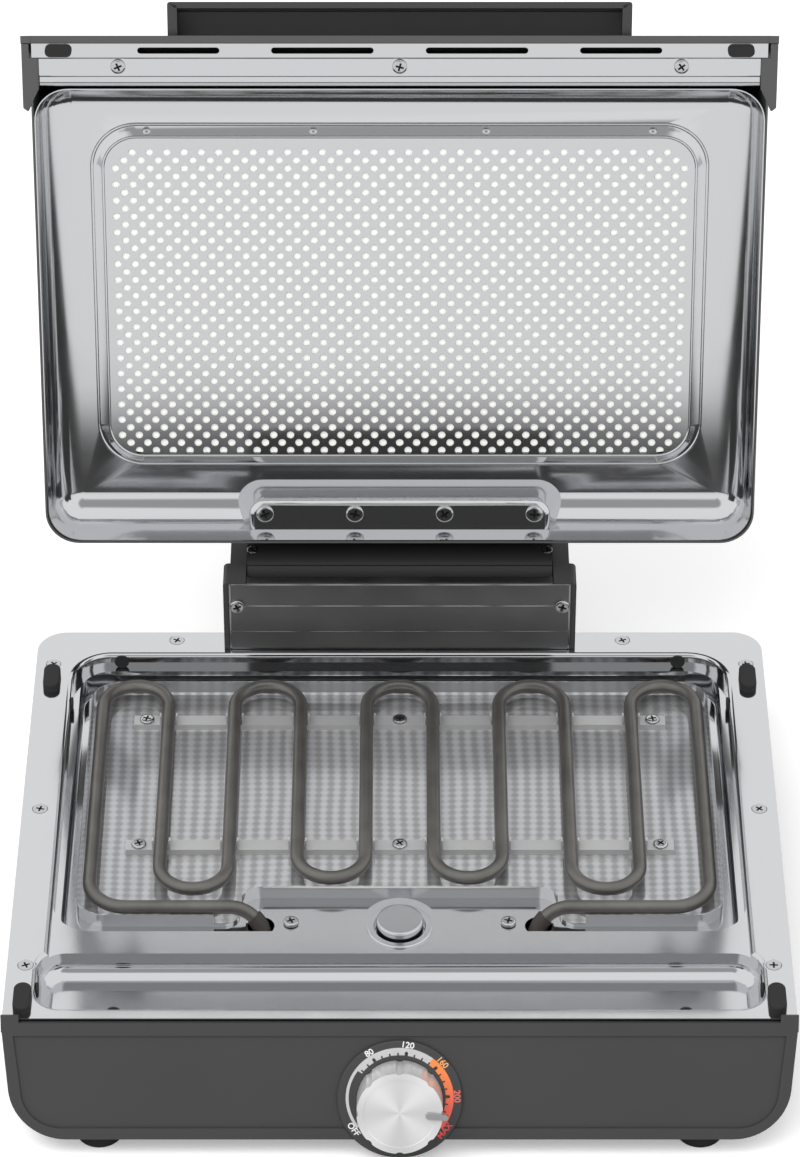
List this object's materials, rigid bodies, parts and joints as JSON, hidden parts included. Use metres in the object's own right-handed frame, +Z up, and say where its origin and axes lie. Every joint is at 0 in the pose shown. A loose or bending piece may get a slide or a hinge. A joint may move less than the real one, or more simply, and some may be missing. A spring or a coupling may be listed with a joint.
{
  "type": "electric indoor grill with hinged lid",
  "caption": "Flat tabletop electric grill: steel pan with a looped tube heater, drip trough, dial with knob in a sloping front, and a perforated lid hinged at the back.",
  "frame": {"origin": "on the table under the middle of the whole footprint, lid standing open", "axes": "+X to the right seen from the front, +Y towards the back, +Z up; front panel faces -Y"},
  "size_m": [0.4, 0.4524, 0.4442],
  "materials": {
    "polished_steel": "mirror-polished stainless steel sheet",
    "screw_steel": "bright zinc-plated steel",
    "black_rubber": "matt moulded rubber",
    "element_sheath": "dull grey-brown metal sheath",
    "dark_grey_plastic": "fine satin moulded plastic",
    "dial_plastic": "smooth printed plastic",
    "spun_aluminium": "spun face with radial sheen",
    "inner_plastic": "heat-proof moulded plastic",
    "filter_fibre": "off-white fibre pad",
    "painted_lid": "dark grey heat-proof paint"
  },
  "bodies": {
    "base": {"deck_pan": "polished_steel", "deck_screws": "screw_steel", "deck_bumpers": "black_rubber", "wall_plugs": "black_rubber", "sensor_ring": "polished_steel", "sensor_spring": "screw_steel", "reflector_tray": "polished_steel", "heating_element": "element_sheath", "leg_sleeves": "black_rubber", "element_brackets": "polished_steel", "bracket_screws": "screw_steel", "terminal_plates": "polished_steel", "terminal_screws": "screw_steel", "base_tub": "dark_grey_plastic", "feet": "black_rubber", "cord_gland": "black_rubber", "front_panel": "dark_grey_plastic", "dial_disc": "dial_plastic", "thermostat_plate": "screw_steel", "thermostat_body": "inner_plastic", "thermostat_screws": "screw_steel", "terminal_block": "inner_plastic", "rear_housing": "dark_grey_plastic", "tower_cap_left": "dark_grey_plastic", "tower_cap_right": "dark_grey_plastic", "tower_cover": "polished_steel", "tower_screws": "screw_steel", "hinge_pins": "screw_steel"},
    "sensor": {"sensor_button": "polished_steel"},
    "knob": {"knob": "spun_aluminium", "knob_pointer": "spun_aluminium", "knob_core": "inner_plastic", "thermostat_shaft": "screw_steel"},
    "lid": {"hinge_arm": "dark_grey_plastic", "arm_screws": "screw_steel", "lid_liner": "polished_steel", "pocket_screws": "screw_steel", "filter_pad": "filter_fibre", "lid_shell": "painted_lid", "lid_front_strip": "polished_steel", "strip_screws": "screw_steel", "lid_bumpers": "black_rubber", "lid_fascia": "dark_grey_plastic", "lid_end_cap_left": "dark_grey_plastic", "lid_end_cap_right": "dark_grey_plastic", "lid_handle": "dark_grey_plastic"}
  },
  "joints": [
    {"name": "lid_hinge", "type": "hinge", "parent": "base", "child": "lid", "pos_m": [0, 0.14039, 0.107], "axis": [1, 0, 0], "range_deg": [0, 102]},
    {"name": "knob_turn", "type": "hinge", "parent": "base", "child": "knob", "pos_m": [0, -0.19954, 0.03236], "axis": [0, -0.9336, 0.3584], "range_deg": [-34, 221]},
    {"name": "sensor_slide", "type": "slide", "parent": "base", "child": "sensor", "axis": [0, 0, 1], "range_m": [-0.004, 0], "stiffness_N_per_m": 300, "springref_m": 0.002, "deforming": ["sensor_spring"]}
  ]
}
